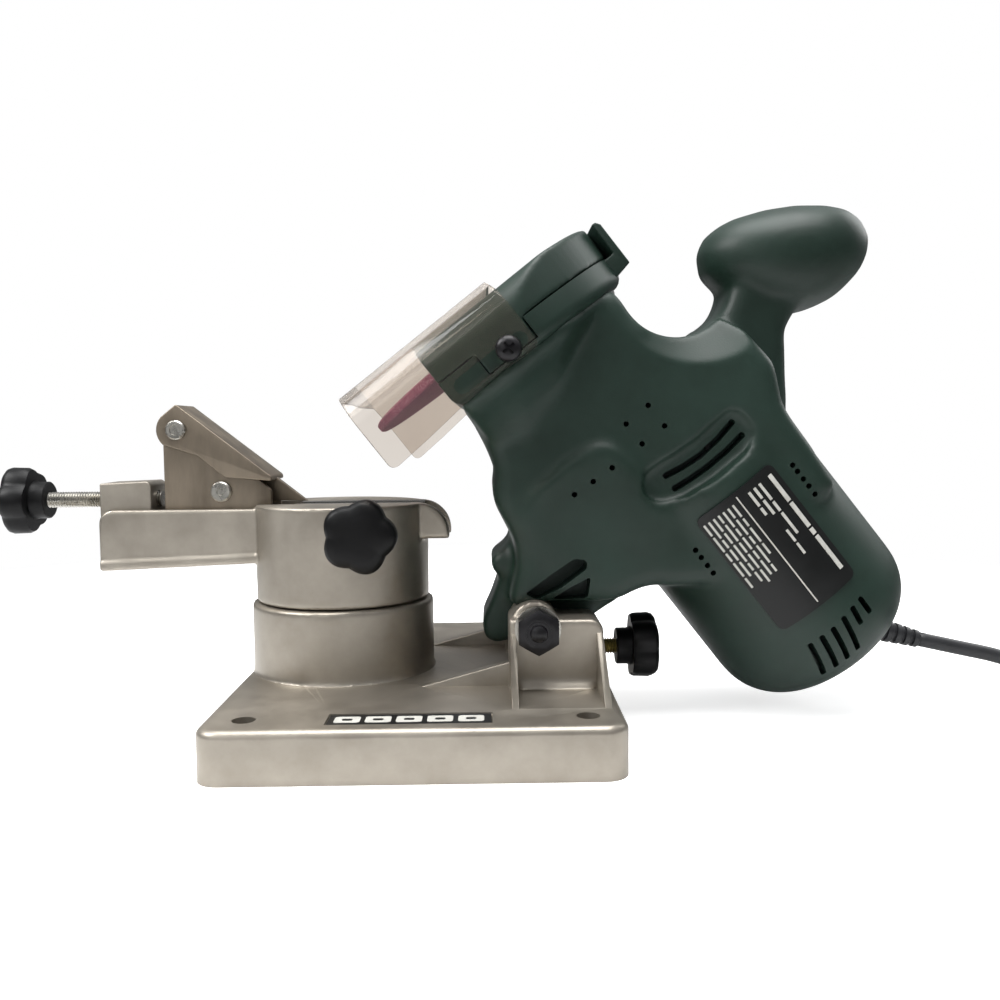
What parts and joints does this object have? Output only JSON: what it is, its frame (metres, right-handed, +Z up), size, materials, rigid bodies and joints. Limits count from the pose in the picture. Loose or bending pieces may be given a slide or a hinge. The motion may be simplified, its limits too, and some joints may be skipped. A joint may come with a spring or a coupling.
{
  "type": "electric chainsaw sharpener",
  "caption": "Bench-top electric chainsaw chain sharpener with a tilting motor head, clear wheel guard and swivelling chain vise.",
  "frame": {"origin": "bottom centre of the base plate", "axes": "+Z up, +X towards the motor and cord, +Y to the rear, away from the clamp knob"},
  "size_m": [0.5573, 0.168, 0.189],
  "materials": {
    "base_casting": "satin die-cast",
    "base_label": "printed film",
    "hinge_bolt": "zinc plated",
    "hinge_nut": "black oxide",
    "hinge_washer_front": "zinc plated",
    "hinge_washer_rear": "zinc plated",
    "hinge_sleeve": "zinc plated",
    "swivel_washer": "zinc plated",
    "swivel_bolt": "zinc plated",
    "vise_table": "satin die-cast",
    "moving_jaw": "ground",
    "rear_jaw": "ground",
    "clamp_screw": "zinc plated",
    "clamp_knob": "moulded",
    "stop_screw": "zinc plated",
    "stop_knob": "moulded",
    "depth_screw": "yellow passivated",
    "depth_knob": "moulded",
    "stop_block": "satin die-cast",
    "stop_carriage": "stamped",
    "carriage_screw": "zinc plated",
    "pawl_pin": "zinc plated",
    "tooth_stop": "stamped",
    "housing_front": "fine texture",
    "housing_rear": "fine texture",
    "wheel_lid": "fine texture",
    "wheel_guard": "clear moulded",
    "guard_screw_front": "black",
    "guard_screw_rear": "black",
    "switch_body": "moulded",
    "switch_rocker": "moulded",
    "grinding_wheel": "bonded abrasive grain",
    "spindle": "ground",
    "wheel_flange_inner": "turned",
    "wheel_flange_outer": "turned",
    "wheel_nut": "zinc plated",
    "spindle_pulley": "turned",
    "motor_pulley": "turned",
    "drive_belt": "moulded",
    "motor_stator": "laminated steel",
    "motor_armature": "laminated steel, wound",
    "commutator": "turned copper",
    "brush_holder_front": "stamped",
    "brush_holder_rear": "stamped",
    "motor_shaft": "ground",
    "cooling_fan": "moulded",
    "rating_plate": "printed film",
    "strain_relief": "moulded",
    "cord_run": "extruded",
    "cord_coil": "extruded",
    "power_plug": "moulded",
    "spindle_bearing_lower": "ground bearing steel",
    "spindle_bearing_upper": "ground bearing steel",
    "motor_bearing_front": "ground bearing steel",
    "motor_bearing_rear": "ground bearing steel",
    "housing_screw_spindle": "zinc plated",
    "housing_screw_side": "zinc plated",
    "housing_screw_hinge": "zinc plated",
    "housing_screw_handle": "zinc plated"
  },
  "bodies": {
    "base": {"base_casting": "base_casting", "base_label": "base_label", "hinge_bolt": "hinge_bolt", "hinge_nut": "hinge_nut", "hinge_washer_front": "hinge_washer_front", "hinge_washer_rear": "hinge_washer_rear", "swivel_washer": "swivel_washer", "swivel_bolt": "swivel_bolt", "cord_coil": "cord_coil", "power_plug": "power_plug"},
    "head": {"housing_front": "housing_front", "housing_rear": "housing_rear", "wheel_lid": "wheel_lid", "hinge_sleeve": "hinge_sleeve", "housing_screw_spindle": "housing_screw_spindle", "housing_screw_side": "housing_screw_side", "housing_screw_hinge": "housing_screw_hinge", "housing_screw_handle": "housing_screw_handle", "guard_screw_front": "guard_screw_front", "guard_screw_rear": "guard_screw_rear", "switch_body": "switch_body", "spindle_bearing_lower": "spindle_bearing_lower", "spindle_bearing_upper": "spindle_bearing_upper", "motor_bearing_front": "motor_bearing_front", "motor_bearing_rear": "motor_bearing_rear", "motor_stator": "motor_stator", "brush_holder_front": "brush_holder_front", "brush_holder_rear": "brush_holder_rear", "drive_belt": "drive_belt", "rating_plate": "rating_plate", "strain_relief": "strain_relief", "cord_run": "cord_run"},
    "guard": {"wheel_guard": "wheel_guard"},
    "rocker": {"switch_rocker": "switch_rocker"},
    "spindle": {"spindle": "spindle", "wheel_flange_inner": "wheel_flange_inner", "grinding_wheel": "grinding_wheel", "wheel_flange_outer": "wheel_flange_outer", "wheel_nut": "wheel_nut", "spindle_pulley": "spindle_pulley"},
    "rotor": {"motor_shaft": "motor_shaft", "motor_armature": "motor_armature", "commutator": "commutator", "cooling_fan": "cooling_fan", "motor_pulley": "motor_pulley"},
    "vise": {"vise_table": "vise_table", "rear_jaw": "rear_jaw", "stop_block": "stop_block"},
    "jaw": {"moving_jaw": "moving_jaw"},
    "clamp": {"clamp_screw": "clamp_screw", "clamp_knob": "clamp_knob"},
    "stop_feed": {"stop_screw": "stop_screw"},
    "stop_handle": {"stop_knob": "stop_knob"},
    "depth_feed": {"depth_screw": "depth_screw"},
    "depth_handle": {"depth_knob": "depth_knob"},
    "carriage": {"stop_carriage": "stop_carriage", "carriage_screw": "carriage_screw", "pawl_pin": "pawl_pin"},
    "tooth_stop": {"tooth_stop": "tooth_stop"}
  },
  "joints": [
    {"name": "head_hinge", "type": "hinge", "parent": "base", "child": "head", "pos_m": [0.04, 0, 0.038], "axis": [0, -1, 0], "range_deg": [0, 20]},
    {"name": "guard_slide", "type": "slide", "parent": "head", "child": "guard", "axis": [0.788, 0, 0.6157], "range_m": [-0.005, 0.019]},
    {"name": "rocker_turn", "type": "hinge", "parent": "head", "child": "rocker", "pos_m": [0.06557, 0.0343, 0.11572], "axis": [0.788, 0, 0.6157], "range_deg": [0, 14]},
    {"name": "spindle_spin", "type": "hinge", "parent": "head", "child": "spindle", "pos_m": [0.07743, 0, 0.06724], "axis": [-0.6157, 0, 0.788], "continuous": true},
    {"name": "rotor_spin", "type": "hinge", "parent": "head", "child": "rotor", "pos_m": [0.10493, 0, 0.08873], "axis": [-0.6157, 0, 0.788], "continuous": true},
    {"name": "vise_swivel", "type": "hinge", "parent": "base", "child": "vise", "pos_m": [-0.0325, 0, 0.0435], "axis": [0, 0, -1], "range_deg": [-35, 35]},
    {"name": "clamp_feed", "type": "slide", "parent": "vise", "child": "jaw", "axis": [0, 1, 0], "range_m": [0, 0.0037]},
    {"name": "clamp_turn", "type": "hinge", "parent": "jaw", "child": "clamp", "pos_m": [-0.0202, 0, 0.0714], "axis": [0, 1, 0], "range_deg": [0, 1060]},
    {"name": "stop_feed", "type": "slide", "parent": "vise", "child": "stop_feed", "axis": [1, 0, 0], "range_m": [-0.01, 0.003]},
    {"name": "stop_turn", "type": "hinge", "parent": "stop_feed", "child": "stop_handle", "pos_m": [-0.15, 0, 0.082], "axis": [1, 0, 0], "range_deg": [-3600, 1075]},
    {"name": "depth_feed", "type": "slide", "parent": "base", "child": "depth_feed", "axis": [-1, 0, 0], "range_m": [0, 0.004]},
    {"name": "depth_turn", "type": "hinge", "parent": "depth_feed", "child": "depth_handle", "pos_m": [0.083, 0, 0.023], "axis": [-1, 0, 0], "range_deg": [0, 1430]},
    {"name": "carriage_slide", "type": "slide", "parent": "vise", "child": "carriage", "axis": [1, 0, 0], "range_m": [0, 0.004]},
    {"name": "stop_lift", "type": "hinge", "parent": "carriage", "child": "tooth_stop", "pos_m": [-0.0916, 0, 0.108], "axis": [0, 1, 0], "range_deg": [-60, 0]}
  ],
  "couplings": [
    {"joint": "rotor_spin", "follows": "spindle_spin", "ratio": 2.3077},
    {"joint": "clamp_feed", "follows": "clamp_turn", "m_per_rad": 0.00019894},
    {"joint": "stop_feed", "follows": "stop_turn", "m_per_rad": 0.00015915},
    {"joint": "depth_feed", "follows": "depth_turn", "m_per_rad": 0.00015915}
  ]
}
